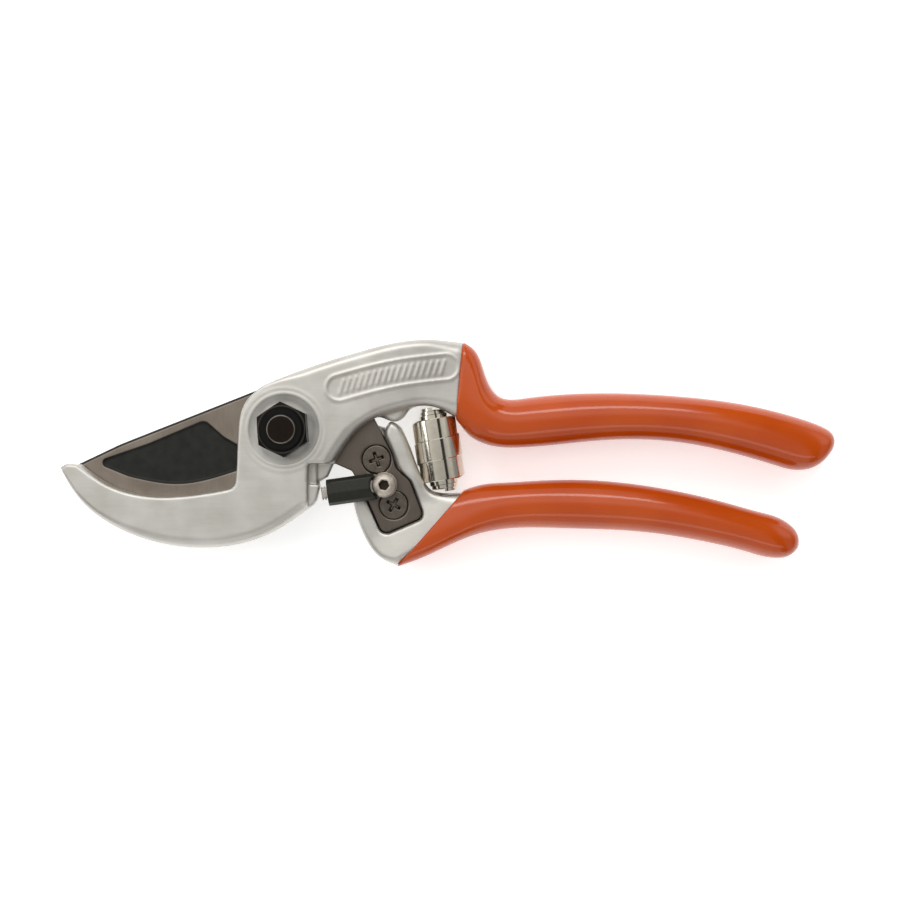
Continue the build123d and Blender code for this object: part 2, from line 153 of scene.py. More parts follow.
class Block:
    """A box of space on a fine grid, in which a solid's distance field is made."""

    def __init__(self, low, high, step):
        self.low = np.array(low, float)
        self.step = step
        self.axes = [np.arange(a, b + step, step) for a, b in zip(low, high)]
        self.x, self.y = np.meshgrid(self.axes[0], self.axes[1], indexing="ij")

    def distance_to(self, path):
        """How far each column is from an open path."""
        nearest = np.full(self.x.shape, FAR_AWAY)
        for (ax, ay), (bx, by) in zip(path, path[1:]):
            dx, dy = bx - ax, by - ay
            share = ((self.x - ax) * dx + (self.y - ay) * dy) / max(dx * dx + dy * dy, 1e-12)
            share = np.clip(share, 0, 1)
            nearest = np.minimum(
                nearest, (self.x - ax - share * dx) ** 2 + (self.y - ay - share * dy) ** 2
            )
        return np.sqrt(nearest)

    def inside_of(self, path):
        """Signed distance of each column to a closed outline, negative inside it."""
        path = np.vstack([path, path[:1]])
        within = np.zeros(self.x.shape, bool)
        for (ax, ay), (bx, by) in zip(path, path[1:]):
            if ay == by:
                continue
            crossing = ax + (self.y - ay) / (by - ay) * (bx - ax)
            within ^= ((ay > self.y) != (by > self.y)) & (self.x < crossing)
        return np.where(within, -1, 1) * self.distance_to(path)

    def round_from(self, centre):
        """Distance of each column from an upright axis."""
        return np.hypot(self.x - centre[0], self.y - centre[1])

    def box(self, low, high, corner):
        """Signed distance of each column to an upright box with rounded corners."""
        qx = np.abs(self.x - (low[0] + high[0]) / 2) - (high[0] - low[0]) / 2 + corner
        qy = np.abs(self.y - (low[1] + high[1]) / 2) - (high[1] - low[1]) / 2 + corner
        outside = np.hypot(np.maximum(qx, 0), np.maximum(qy, 0))
        return outside + np.minimum(np.maximum(qx, qy), 0) - corner

    def along(self, start, end, z):
        """Distance of each point of the layer at z from an axis, and its place along it."""
        way = (end - start) / np.linalg.norm(end - start)
        place = (self.x - start[0]) * way[0] + (self.y - start[1]) * way[1]
        off = (self.x - start[0] - place * way[0]) ** 2 + (self.y - start[1] - place * way[1]) ** 2
        return np.sqrt(off + (z - GRIP_MIDDLE) ** 2), place

    def mesh(self, name, layer, passes=8):
        """The surface where layer(z), the distance field of each level, is zero."""
        field = np.stack([layer(z) for z in self.axes[2]], axis=2).astype(np.float32)
        grid = openvdb.FloatGrid(FIELD_BACKGROUND)
        grid.copyFromArray(np.ascontiguousarray(field))
        points, quads = grid.convertToQuads(0.0)
        points = self.low + points * self.step
        return mesh_object(name, relaxed(points, quads, passes), quads)


def slab(outline, z, bottom, top, low_radius, high_radius):
    """Distance to an outline stood up between two levels, with its edges rounded."""
    middle, half = (top + bottom) / 2, (top - bottom) / 2
    radius = np.minimum(np.where(z > middle, high_radius, low_radius), half * 0.98)
    side = outline + radius
    rise = np.abs(z - middle) - half + radius
    outside = np.hypot(np.maximum(side, 0), np.maximum(rise, 0))
    return outside + np.minimum(np.maximum(side, rise), 0) - radius


def joined(a, b, melt):
    """The union of two fields, with a fillet of about the given size where they meet."""
    share = np.clip(0.5 + 0.5 * (b - a) / melt, 0, 1)
    return b * (1 - share) + a * share - melt * share * (1 - share)


def cut(a, b, melt):
    """The first field less the second, with a softened edge."""
    return -joined(-a, b, melt)


def relaxed(points, quads, passes):
    """The vertices evened out against their neighbours, without shrinking the form."""
    edges = np.sort(np.vstack([quads[:, [i, (i + 1) % 4]] for i in range(4)]), axis=1)
    edges = np.unique(edges, axis=0)
    count = len(points)
    degree = np.bincount(edges.ravel(), minlength=count)[:, None]
    for _ in range(passes):
        for amount in RELAX_STEPS:
            total = np.zeros(points.shape)
            for axis in range(3):
                total[:, axis] = np.bincount(
                    edges[:, 0], weights=points[edges[:, 1], axis], minlength=count
                ) + np.bincount(edges[:, 1], weights=points[edges[:, 0], axis], minlength=count)
            points = points + amount * (total / degree - points)
    return points


def mesh_object(name, points, faces, crease=None):
    """A smooth-shaded mesh object from points in millimetres, its normals facing out."""
    faces = np.asarray(faces)
    corners = points[faces]
    spread = np.cross(corners[:, 2] - corners[:, 0], corners[:, 3] - corners[:, 1])
    if np.einsum("ij,ij->", corners.mean(axis=1), spread) < 0:
        faces = faces[:, ::-1]
    mesh = bpy.data.meshes.new(name)
    mesh.vertices.add(len(points))
    mesh.vertices.foreach_set("co", (points * MM).astype(np.float32).ravel())
    mesh.loops.add(faces.size)
    mesh.loops.foreach_set("vertex_index", faces.astype(np.int32).ravel())
    mesh.polygons.add(len(faces))
    mesh.polygons.foreach_set("loop_start", np.arange(0, faces.size, 4, dtype=np.int32))
    mesh.polygons.foreach_set("loop_total", np.full(len(faces), 4, dtype=np.int32))
    mesh.update(calc_edges=True)
    mesh.validate()
    mesh.shade_smooth()
    if crease is not None:
        mesh.set_sharp_from_angle(angle=math.radians(crease))
    obj = bpy.data.objects.new(name, mesh)
    bpy.context.scene.collection.objects.link(obj)
    return obj


def replace_node(obj, node, body, finish):
    """Puts a finished piece in the place of a frame node."""
    obj.data.materials.clear()
    obj.data.materials.append(finish)
    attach(obj, body)
    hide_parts(node)


# ------------------------------------------------------------------ materials
def linear(red, green, blue):
    """A colour given as 0 to 255 display values, as the shader wants it."""
    channels = [value / 255 for value in (red, green, blue)]
    return tuple(c / 12.92 if c <= 0.04045 else ((c + 0.055) / 1.055) ** 2.4 for c in channels) + (1,)


class Finish:
    """A procedural material: one principled shader, with helpers that add nodes to it."""

    def __init__(self, name, metallic, **constants):
        self.material = bpy.data.materials.new(name)
        self.material.use_nodes = True
        self.tree = self.material.node_tree
        self.shader = self.tree.nodes["Principled BSDF"]
        self.shader.inputs["Metallic"].default_value = metallic
        for socket, value in constants.items():
            self.shader.inputs[socket.replace("_", " ")].default_value = value
        self.place = self.node("ShaderNodeTexCoord").outputs["Object"]

    def node(self, kind, **settings):
        made = self.tree.nodes.new(kind)
        for key, value in settings.items():
            setattr(made, key, value)
        return made

    def link(self, source, node, socket):
        self.tree.links.new(source, node.inputs[socket])

    def noise(self, size_mm, detail=3, stretch=(1, 1, 1), turn=0.0):
        """Noise with features of about the given size, from 0 to 1."""
        mapping = self.node("ShaderNodeMapping")
        mapping.inputs["Scale"].default_value = [1 / (size_mm * MM * s) for s in stretch]
        mapping.inputs["Rotation"].default_value = (0, 0, turn)
        self.link(self.place, mapping, "Vector")
        noise = self.node("ShaderNodeTexNoise")
        noise.inputs["Scale"].default_value = 1.0
        noise.inputs["Detail"].default_value = detail
        self.link(mapping.outputs[0], noise, "Vector")
        return noise.outputs["Fac"]

    def ramp(self, value, *stops):
        """Colours or greys at places from 0 to 1."""
        node = self.node("ShaderNodeValToRGB")
        ramp = node.color_ramp
        for _ in stops[2:]:
            ramp.elements.new(0.5)
        for element, (place, colour) in zip(ramp.elements, stops):
            element.position = place
            element.color = colour if isinstance(colour, tuple) else (colour, colour, colour, 1)
        self.link(value, node, "Fac")
        return node.outputs["Color"]

    def mix(self, share, first, second, kind="MIX"):
        """Two colours or greys mixed by a share."""
        node = self.node("ShaderNodeMix", data_type="RGBA", blend_type=kind)
        for socket, value in ((0, share), (6, first), (7, second)):
            if isinstance(value, (int, float)):
                value = (value,) * 3 + (1,) if socket else value
            if isinstance(value, (int, float, tuple)):
                node.inputs[socket].default_value = value
            else:
                self.tree.links.new(value, node.inputs[socket])
        return node.outputs[2]

    def ranged(self, value, start_mm, end_mm):
        """A share that goes from 0 to 1 as a length goes from start to end."""
        node = self.node("ShaderNodeMapRange")
        self.link(value, node, "Value")
        node.inputs["From Min"].default_value = start_mm * MM
        node.inputs["From Max"].default_value = end_mm * MM
        return node.outputs[0]

    def worked(self, operation, first, second):
        """The outcome of one operation on a number or value and a second value."""
        node = self.node("ShaderNodeMath", operation=operation)
        for socket, value in enumerate((first, second)):
            if isinstance(value, float):
                node.inputs[socket].default_value = value
            else:
                self.link(value, node, socket)
        return node.outputs[0]

    def bump(self, height, depth_mm, strength=1.0, under=None):
        """A bump of the given depth over another."""
        node = self.node("ShaderNodeBump")
        node.inputs["Strength"].default_value = strength
        node.inputs["Distance"].default_value = depth_mm * MM
        self.link(height, node, "Height")
        if under is not None:
            self.link(under, node, "Normal")
        return node.outputs["Normal"]

    def done(self, colour=None, roughness=None, normal=None):
        for socket, value in (("Base Color", colour), ("Roughness", roughness), ("Normal", normal)):
            if value is not None:
                self.link(value, self.shader, socket)
        return self.material


def forged_aluminium():
    """Tumbled and satin-finished aluminium: cloudy tone, fine grain and faint scratches."""
    finish = Finish("forged_aluminium", 1.0)
    cloud = finish.noise(9, 4)
    grain = finish.noise(0.35, 2)
    brush = finish.noise(0.5, 3, stretch=(14, 1, 1), turn=0.3)
    tone = finish.ramp(cloud, (0.3, linear(192, 188, 181)), (0.7, linear(212, 210, 205)))
    rubbed = finish.ramp(brush, (0.3, linear(184, 179, 171)), (0.7, linear(210, 207, 201)))
    tone = finish.mix(0.18, tone, rubbed)
    rough = finish.ramp(finish.mix(0.6, brush, cloud), (0.3, 0.42), (0.7, 0.54))
    normal = finish.bump(finish.noise(2.6, 3), 0.05, 0.3)
    normal = finish.bump(grain, 0.012, 0.4, normal)
    return finish.done(tone, rough, finish.bump(brush, 0.005, 0.25, normal))


def dipped_coating():
    """Glossy dipped vinyl with the slow waves that draining leaves."""
    finish = Finish("dipped_coating", 0.0, Specular_IOR_Level=0.45)
    tone = finish.ramp(finish.noise(14, 2), (0.35, linear(185, 70, 10)), (0.7, linear(192, 77, 14)))
    rough = finish.ramp(finish.noise(3, 3), (0.3, 0.11), (0.7, 0.16))
    normal = finish.bump(finish.noise(9, 1), 0.05, 0.15)
    return finish.done(tone, rough, normal)


def blade_steel():
    """Ground tool steel, painted darker on the tang as shade, with the black coating in the hollow
    below the blade's front.
    """
    finish = Finish("blade_steel", 1.0, Specular_IOR_Level=0.25)
    brush = finish.noise(0.25, 3, stretch=(1, 22, 1), turn=-0.37)
    cloud = finish.noise(7, 3)
    steel = finish.ramp(brush, (0.25, linear(122, 112, 103)), (0.75, linear(136, 126, 116)))
    clouded = finish.ramp(cloud, (0.3, linear(112, 102, 93)), (0.7, linear(138, 129, 119)))
    steel = finish.mix(0.5, steel, clouded)
    split = finish.node("ShaderNodeSeparateXYZ")
    finish.link(finish.place, split, "Vector")
    along, height = split.outputs["X"], split.outputs["Z"]
    # Painted shade: the steel is made 1.1 times as bright on the blade and 0.68 times as bright on the
    # tang, standing in for the dark reflection the tang shows.
    tang = finish.ranged(along, -4, 6)
    steel = finish.mix(1.0, steel, finish.mix(tang, 1.1, 0.68), "MULTIPLY")
    # The coating keeps to the hollow: below the front face, clear of the blade's sides and rear,
    # and left of the pivot.
    front = finish.ranged(height, BLADE_FRONT - 0.05, BLADE_FRONT - 0.015)
    near_front = finish.ranged(height, BLADE_FRONT - 0.9, BLADE_FRONT - 0.7)
    left = finish.ranged(along, -6, -7)
    coated = finish.worked("MULTIPLY", finish.worked("SUBTRACT", 1.0, front),
                           finish.worked("MULTIPLY", near_front, left))
    black = finish.ramp(finish.noise(2.5, 4), (0.3, linear(22, 22, 19)), (0.7, linear(34, 34, 30)))
    tone = finish.mix(coated, steel, black)
    shine = finish.mix(coated, finish.ramp(brush, (0.3, 0.30), (0.7, 0.42)), 0.55)
    finish.link(finish.worked("SUBTRACT", 1.0, coated), finish.shader, "Metallic")
    return finish.done(tone, shine, finish.bump(brush, 0.01, 0.4))


def plain_metal(name, dark, light, rough, grain_mm=0.4, metallic=1.0, specular=0.5):
    """A small turned, plated, blackened or moulded part."""
    finish = Finish(name, metallic, Specular_IOR_Level=specular)
    noise = finish.noise(grain_mm, 3)
    wear = finish.noise(1.8, 3)
    tone = finish.ramp(finish.mix(0.5, noise, wear), (0.35, linear(*dark)), (0.65, linear(*light)))
    roughness = finish.ramp(wear, (0.3, rough * 0.85), (0.7, rough * 1.2))
    return finish.done(tone, roughness, finish.bump(noise, 0.02 * rough, 0.4))


def black_oxide():
    """Blackened steel, with painted highlights in rings about the pivot, where the turned edges would
    catch the light.
    """
    finish = Finish("black_oxide", 1.0)
    flat = finish.node("ShaderNodeMapping")
    flat.inputs["Scale"].default_value = (1, 1, 0)
    finish.link(finish.place, flat, "Vector")
    radius = finish.node("ShaderNodeVectorMath", operation="LENGTH")
    finish.link(flat.outputs[0], radius, "Vector")
    share = finish.ranged(radius.outputs["Value"], 0, 10)
    # Painted highlights: a bright thin ring about 3.7 mm out, at the bolt end's chamfer, and a fainter
    # one about 6.3 mm out, on the dark oxide.
    rings = finish.ramp(share, (0.0, linear(38, 32, 28)), (0.345, linear(40, 34, 30)),
                        (0.37, linear(150, 142, 132)), (0.385, linear(40, 38, 36)),
                        (0.6, linear(30, 29, 28)), (0.63, linear(78, 74, 70)),
                        (0.65, linear(34, 33, 32)), (1.0, linear(34, 33, 32)))
    wear = finish.noise(1.2, 4)
    tone = finish.mix(1.0, rings, finish.ramp(wear, (0.3, 0.8), (0.7, 1.0)), "MULTIPLY")
    rough = finish.ramp(wear, (0.3, 0.3), (0.7, 0.42))
    return finish.done(tone, rough, finish.bump(finish.noise(0.4), 0.008, 0.3))


def button_steel():
    """Matt plated steel, with painted shade in the hex socket and at the rim's foot."""
    finish = Finish("button_steel", 1.0)
    split = finish.node("ShaderNodeSeparateXYZ")
    finish.link(finish.place, split, "Vector")
    # Painted shade: a dark brown fills everything below 15.9 mm and fades out by 16.9 mm, so the socket
    # and the foot of the dome's rim look shaded.
    level = finish.ranged(split.outputs["Z"], 15.9, 16.9)
    cloud = finish.noise(0.8, 3)
    light = finish.ramp(cloud, (0.3, linear(182, 172, 160)), (0.7, linear(206, 198, 187)))
    tone = finish.mix(level, linear(70, 60, 50), light)
    return finish.done(tone, finish.ramp(cloud, (0.3, 0.46), (0.7, 0.56)))


ALUMINIUM = forged_aluminium()
COATING = dipped_coating()
BLADE_STEEL = blade_steel()
BLACK_OXIDE = black_oxide()
DARK_SCREW = plain_metal("dark_screw", (92, 85, 77), (112, 104, 96), 0.36)
ZINC = plain_metal("zinc_steel", (176, 168, 158), (202, 196, 187), 0.34)
NICKEL = plain_metal("nickel_steel", (212, 204, 188), (220, 213, 199), 0.09, grain_mm=1.5)
GROUND = plain_metal("bush_steel", (150, 146, 140), (178, 174, 168), 0.32)
BRONZE = plain_metal("washer_bronze", (150, 118, 70), (176, 142, 90), 0.4)
BUTTON = button_steel()
SLEEVE = plain_metal("sleeve_plastic", (24, 24, 19), (34, 34, 28), 0.42, metallic=0.0, specular=0.3)
LOCK_RING = plain_metal("lock_ring_plastic", (10, 10, 9), (18, 18, 17), 0.4, metallic=0.0, specular=0.1)

# The finishes of the frame's nodes that stay in sight.
NODE_FINISHES = {
    "pivot_bolt": BLACK_OXIDE,
    "pivot_nut": BLACK_OXIDE,
    "pivot_lock_ring": LOCK_RING,
    "pivot_bush": GROUND,
    "rear_washer": GROUND,
    "friction_washer": BRONZE,
    "catch_spacer": ZINC,
    "catch_washer": ZINC,
}
for node, finish in NODE_FINISHES.items():
    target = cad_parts[node]
    target.data.materials.clear()
    target.data.materials.append(finish)


# ------------------------------------------------------------------ upper handle
def upper_handle():
    """The forging of the hook, the head and the arm, down to where the coating starts."""
    block = Block((-61.5, -33.5, 0.0), (55.0, 26.5, 18.6), 0.25)
    x, y = block.x, block.y
    crown = smooth([(48.3, 24.0), (38.0, 24.7), (20.4, 21.3), (1.3, 15.0), (-5.9, 11.9)])
    cheek = smooth([(-5.9, 11.9), (-10.6, 7.2), (-12.4, -0.6), (-12.8, -9.5)])
    throat = rounded([(-12.8, -9.5), (-13.3, -15.8), (-18.6, -16.9)], [2.6])
    jaw = smooth([(-18.6, -16.9), (-33.0, -18.3), (-47.8, -15.1), (-56.0, -9.5)])
    back = smooth([(-60.8, -10.2), (-56.2, -18.2), (-40.0, -29.1), (-22.5, -32.1),
                   (-5.0, -28.7), (6.4, -21.4)])
    lip = [(7.6, -20.6), (8.55, -19.2), (9.45, -15.6), (9.2, -14.3), (11.5, -12.9)]
    arch = smooth([(13.0, -9.5), (16.3, -4.0), (22.2, 2.0), (31.0, 5.5), (39.5, 6.5), (46.3, 3.8)])
    under_coating = [(48.6, 3.4), (51.2, 5.0), (52.4, 9.0), (51.6, 17.5), (50.0, 22.4)]
    outline = block.inside_of(
        np.vstack([crown, cheek, throat, jaw, [(-59.0, -9.2)], back, lip, arch, under_coating])
    )
    from_pivot = block.round_from((0, 0))
    inner = block.distance_to(np.vstack([cheek, throat, jaw]))
    soft = smoothstep(1.5, 13.0, inner)
    soft = soft * smoothstep(2.0, 8.0, block.round_from((8.5, -15.5)))
    front_radius = 0.8 + (1.5 + 1.2 * smoothstep(4.0, -4.0, y)) * soft
    front_radius = front_radius + 1.3 * smoothstep(38, 48, x)
    rear_radius = 0.5 + 4.0 * smoothstep(24, 44, x)
    front = HEAD_FRONT - 2.7 * smoothstep(22, 50, x)
    rear = HEAD_REAR - (HEAD_REAR - 1.4) * smoothstep(24.5, 41, x)

    past_coating = x - 46.5 - (y - 3.1) * 0.089
    front = front - 1.8 * smoothstep(-0.1, 1.4, past_coating)
    rear = rear + 1.6 * smoothstep(-0.1, 1.4, past_coating)

    # Raised work on the front: the rim of the spot face, and the framed panel on the arm.
    spot_depth = 0.4
    front = front - spot_depth * smoothstep(SPOT_RADIUS + 0.6, SPOT_RADIUS - 2.2, from_pivot)
    front = front + 0.12 * np.exp(-(((from_pivot - SPOT_RADIUS - 0.5) / 0.45) ** 2))
    front = front + 0.07 * np.exp(-(((from_pivot - SPOT_RADIUS - 1.8) / 0.5) ** 2))
    middle = smooth([(14.9, 11.3), (31.2, 15.4), (43.9, 17.1)], 0.1)
    panel_half_width = 3.5
    frame_height = 0.2
    rib_height = 0.13
    rib_count = 17
    lean = np.array([0.55, 1.75])
    panel_edge = np.abs(block.distance_to(middle) - panel_half_width)
    front = front + frame_height * np.exp(-((panel_edge / 0.45) ** 2))
    for share in np.linspace(0.03, 0.97, rib_count):
        centre = middle[int(share * (len(middle) - 1))]
        rib = block.distance_to([centre - lean, centre + lean])
        front = front + rib_height * np.exp(-((rib / 0.42) ** 2))

    step_upper = block.box((6.4, -14.8), (20.0, -9.2), 0.9)
    step_lower = block.box((6.4, -30.0), (20.0, -14.4), 0.9)
    notch_floor = 12.8 + 0.7 * smoothstep(9.0, 8.2, x)
    sill_level = 15.6
    stop_lug = block.round_from((29.5, 6.0)) - 3.6

    def layer(z):
        body = slab(outline, z, rear, front, rear_radius, front_radius)
        body = joined(body, slab(stop_lug, z, 6.0, 13.4, 0.8, 1.4), 2.4)
        body = cut(body, np.maximum(step_upper, notch_floor - z), 0.9)
        body = cut(body, np.maximum(step_lower, sill_level - z), 0.6)
        body = np.maximum(body, BOLT_HOLE - from_pivot)
        off, place = block.along(SPRING_TOP, SPRING_FOOT, z)
        pocket = np.maximum(off - SEAT_RADIUS, np.maximum(-1.7 - place, place - SEAT_REACH))
        return cut(body, pocket, 0.4)

    return block.mesh("upper_forging", layer)


replace_node(upper_handle(), "upper_handle", "root", ALUMINIUM)

# ------------------------------------------------------------------ lower handle
TANG_CORNERS = [(24.0, 3.3), (28.7, -5.8), (30.2, -10.6), (34.0, -14.0), (37.7, -23.9),
                (26.4, -28.8), (22.4, -19.7), (17.9, -11.3), (13.3, -9.3)]
TANG_RADII = [8.0, 2.5, 2.5, 2.0, 2.2, 6.0, 1.0]
DIP_FROM = np.array([30.2, -37.7])
DIP_TO = np.array([48.6, -16.7])


def lower_handle():
    """The forging of the disc, the cheek and the rib, down to where the coating starts."""
    block = Block((-12.5, -39.0, 0.4), (55.0, 12.5, 15.6), 0.25)
    x, y = block.x, block.y
    rib_end = smooth([(26.8, -0.9), (28.6, 2.3), (31.4, 0.8)])
    rib_back = smooth([(31.4, 0.8), (33.8, -4.5), (37.5, -13.8), (40.0, -16.8), (43.5, -17.5),
                       (49.5, -17.4)])
    under_coating = [(52.0, -19.2), (47.5, -27.0), (40.0, -32.4), (34.5, -35.4)]
    heel = smooth([(30.2, -37.2), (25.5, -34.9), (21.4, -29.3), (18.5, -20.8), (17.4, -14.6)])
    outline = block.inside_of(np.vstack([rib_end, rib_back, under_coating, heel, [(20.5, -13.0)]]))
    web = block.inside_of(
        np.array([(2.0, 11.0), (22.5, 2.2), (28.0, 0.4), (28.0, -12.0), (18.2, -13.8),
                  (18.4, -10.6), (13.0, -8.0), (2.0, -11.0)])
    )
    from_pivot = block.round_from((0, 0))
    web = joined(web, from_pivot - DISC_RADIUS, 1.0)
    way = (DIP_TO - DIP_FROM) / np.linalg.norm(DIP_TO - DIP_FROM)
    from_dip = (y - DIP_FROM[1]) * way[0] - (x - DIP_FROM[0]) * way[1]
    rib = smooth([(29.0, 0.2), (31.4, -5.2), (33.9, -11.4), (36.6, -16.4), (39.0, -19.4)])
    ridge = smoothstep(3.4, 1.2, block.distance_to(rib)) * smoothstep(-20.5, -12.0, y)
    front = CHEEK_FRONT + 1.25 * ridge + 1.7 * smoothstep(11, -3, from_dip)
    rear = PLATE_REAR - 2.1 * smoothstep(10, -2, from_dip)
    front_radius = 1.7 + 1.8 * smoothstep(5, -3, from_dip)
    rear_radius = 0.8 + 2.8 * smoothstep(8, -3, from_dip)
    recess = block.inside_of(rounded(TANG_CORNERS, TANG_RADII)) - 0.35
    holes = [block.round_from(centre) - SCREW_HOLE for centre in (*SCREWS, CATCH)]

    def layer(z):
        body = slab(outline, z, rear, front, rear_radius, front_radius)
        body = joined(body, slab(web, z, PLATE_REAR, BLADE_REAR, 0.5, 0.3), 0.3)
        body = cut(body, np.maximum(recess, BLADE_REAR - z), 0.9)
        body = np.maximum(body, BUSH_HOLE - from_pivot)
        for hole in holes:
            body = np.maximum(body, -hole)
        off, place = block.along(SPRING_FOOT, SPRING_TOP, z)
        pocket = np.maximum(off - SEAT_RADIUS, np.maximum(-1.1 - place, place - SEAT_REACH))
        return cut(body, pocket, 0.4)

    return block.mesh("lower_forging", layer)


replace_node(lower_handle(), "lower_handle", "lower", ALUMINIUM)


# ------------------------------------------------------------------ blade
def blade():
    """The blade: its tang, its disc, the coated hollow and the bevel behind the edge."""
    block = Block((-59.5, -30.0, 7.0), (39.0, 14.5, 11.8), 0.2)
    edge = smooth([(-6.5, -14.2), (-16.0, -19.4), (-28.0, -21.4), (-40.0, -20.2), (-58.2, -10.1)])
    throat = smooth([(13.3, -9.3), (3.0, -12.2), (-6.5, -14.2)])
    spine = rounded([(-58.2, -9.7), (-46.0, -3.9), (-6.8, 11.6)], [40.0])
    shoulder = smooth([(-6.8, 11.6), (3.0, 12.6), (14.0, 8.6), (24.0, 3.3)])
    tang = rounded(TANG_CORNERS, TANG_RADII)
    outline = block.inside_of(np.vstack([tang, throat, edge, spine, shoulder]))
    hollow_tip = rounded([(-38.0, -3.9), (-52.6, -8.9), (-43.5, -12.6)], [1.1])
    hollow_heel = rounded([(-38.0, -3.9), (-22.6, 2.6), (-17.4, -2.0), (-8.0, -7.4), (-13.7, -11.0)],
                          [2.2, 6.0, 1.0])
    belly = smooth([(-13.7, -11.0), (-30.0, -14.7), (-43.5, -12.6)])
    hollow = block.inside_of(np.vstack([hollow_heel, belly, hollow_tip[::-1]]))
    hollow_depth = 0.5
    front = BLADE_FRONT - hollow_depth * smoothstep(0.3, -0.5, hollow)
    front = front - 0.9 * np.clip(0.65 - block.distance_to(spine), 0, 1)
    bevel_width = 5.4
    bevel_height = 2.9
    bevel = np.clip(1 - block.distance_to(edge) / bevel_width, 0, 1)
    rear = BLADE_REAR + bevel_height * bevel
    from_pivot = block.round_from((0, 0))
    sinks = [block.round_from(centre) for centre in SCREWS]
    sink_radius = 4.25
    catch_hole = block.round_from(CATCH) - SCREW_HOLE

    def layer(z):
        body = slab(outline, z, rear, front, 0.25, 0.3)
        body = np.maximum(body, BUSH_HOLE - from_pivot)
        body = np.maximum(body, -catch_hole)
        for off in sinks:
            cone = sink_radius - (BLADE_FRONT - z) * SINK_SLOPE
            body = np.maximum(body, (np.maximum(cone, SCREW_HOLE) - off) * SINK_SQUARE)
        return body

    return block.mesh("blade_body", layer, passes=4)


replace_node(blade(), "cutting_blade", "lower", BLADE_STEEL)


# ------------------------------------------------------------------ screws and catch
def cross_screw(name, centre, turn):
    """A countersunk screw with a cross recess, its head a little below the blade's front."""
    top = BLADE_FRONT - 0.05
    room = 4.6
    block = Block((centre[0] - room, centre[1] - room, 4.0),
                  (centre[0] + room, centre[1] + room, 11.8), 0.12)
    off = block.round_from(centre)
    dx, dy = block.x - centre[0], block.y - centre[1]
    u = np.abs(dx * math.cos(turn) + dy * math.sin(turn))
    v = np.abs(dy * math.cos(turn) - dx * math.sin(turn))

    def layer(z):
        sunk = np.maximum(top - 0.35 - z, 0) * SINK_SLOPE
        cone = (off - COUNTERSUNK_RADIUS + sunk) * SINK_SQUARE
        head = slab(off - COUNTERSUNK_RADIUS, z, top - 2.6, top, 0.1, 0.3)
        body = np.maximum(head, cone)
        body = np.minimum(body, slab(off - SHANK_RADIUS, z, SHANK_END, top - 1.5, 0.2, 0.1))
        depth = top - z
        arm = 2.15 - 0.55 * depth
        wing = 0.42 - 0.08 * depth
        cross = np.minimum(np.maximum(u - arm, v - wing), np.maximum(v - arm, u - wing))
        return cut(body, np.maximum(cross, depth - 1.3), 0.16)

    return block.mesh(name, layer, passes=3)


for name, node, centre, turn in (("screw_upper", "blade_screw_upper", SCREWS[0], 0.35),
                                 ("screw_lower", "blade_screw_lower", SCREWS[1], 1.05)):
    replace_node(cross_screw(name, centre, turn), node, "lower", DARK_SCREW)


def button_screw():
    """The catch's pivot screw: a domed head with a hexagon socket."""
    room = 4.2
    block = Block((CATCH[0] - room, CATCH[1] - room, 4.0),
                  (CATCH[0] + room, CATCH[1] + room, 18.2), 0.12)
    off = block.round_from(CATCH)
    dx, dy = block.x - CATCH[0], block.y - CATCH[1]
    socket_half_width = 1.3
    socket_floor = 15.3
    dome_centre = 13.6
    dome_radius = 4.3
    hexagon = np.max([np.abs(dx * math.cos(a) + dy * math.sin(a))
                      for a in np.radians((20, 80, 140))], axis=0) - socket_half_width

    def layer(z):
        dome = np.sqrt(off**2 + (z - dome_centre) ** 2) - dome_radius
        head = np.maximum(slab(off - BUTTON_RADIUS, z, 15.05, BUTTON_TOP, 0.15, 0.5), dome)
        body = np.minimum(head, slab(off - SHANK_RADIUS, z, SHANK_END, 15.4, 0.2, 0.1))
        return cut(body, np.maximum(hexagon, socket_floor - z), 0.14)

    return block.mesh("catch_button", layer, passes=3)


replace_node(button_screw(), "catch_screw", "lower", BUTTON)


def catch_axes(block):
    """Each column's place along the catch and across it, from the catch's screw."""
    dx, dy = block.x - CATCH[0], block.y - CATCH[1]
    along = dx * math.cos(CATCH_ANGLE) + dy * math.sin(CATCH_ANGLE)
    across = dx * math.sin(CATCH_ANGLE) - dy * math.cos(CATCH_ANGLE)
    return along, across


def thumb_sleeve():
    """The moulded sleeve on the catch, with a ridge along it and a hollow end at the screw."""
    block = Block((9.5, -22.5, 11.6), (28.5, -9.5, 18.0), 0.16)
    u, v = catch_axes(block)
    middle = 9.1
    half_length = 6.5
    half_width = 3.6
    u_side = np.abs(u - middle) - half_length
    v_side = np.abs(v) - half_width
    outline = np.hypot(np.maximum(u_side, 0), np.maximum(v_side, 0))
    outline = outline + np.minimum(np.maximum(u_side, v_side), 0)
    outline = cut(outline, block.round_from(CATCH) - 3.85, 0.15)
    top = 17.45 - 0.16 * np.abs(v + 0.3) - 1.1 * smoothstep(2.6, half_width, np.abs(v))
    top = top - 0.5 * smoothstep(14.3, 15.6, u)
    slot = np.maximum(np.abs(v) - 1.95, 4.5 - u)

    def layer(z):
        body = slab(outline, z, SLEEVE_REAR, top, 0.3, 0.35)
        return np.maximum(body, -np.maximum(slot, np.abs(z - 14.0) - 1.05))

    return block.mesh("catch_moulding", layer, passes=3)


replace_node(thumb_sleeve(), "catch_sleeve", "catch", SLEEVE)


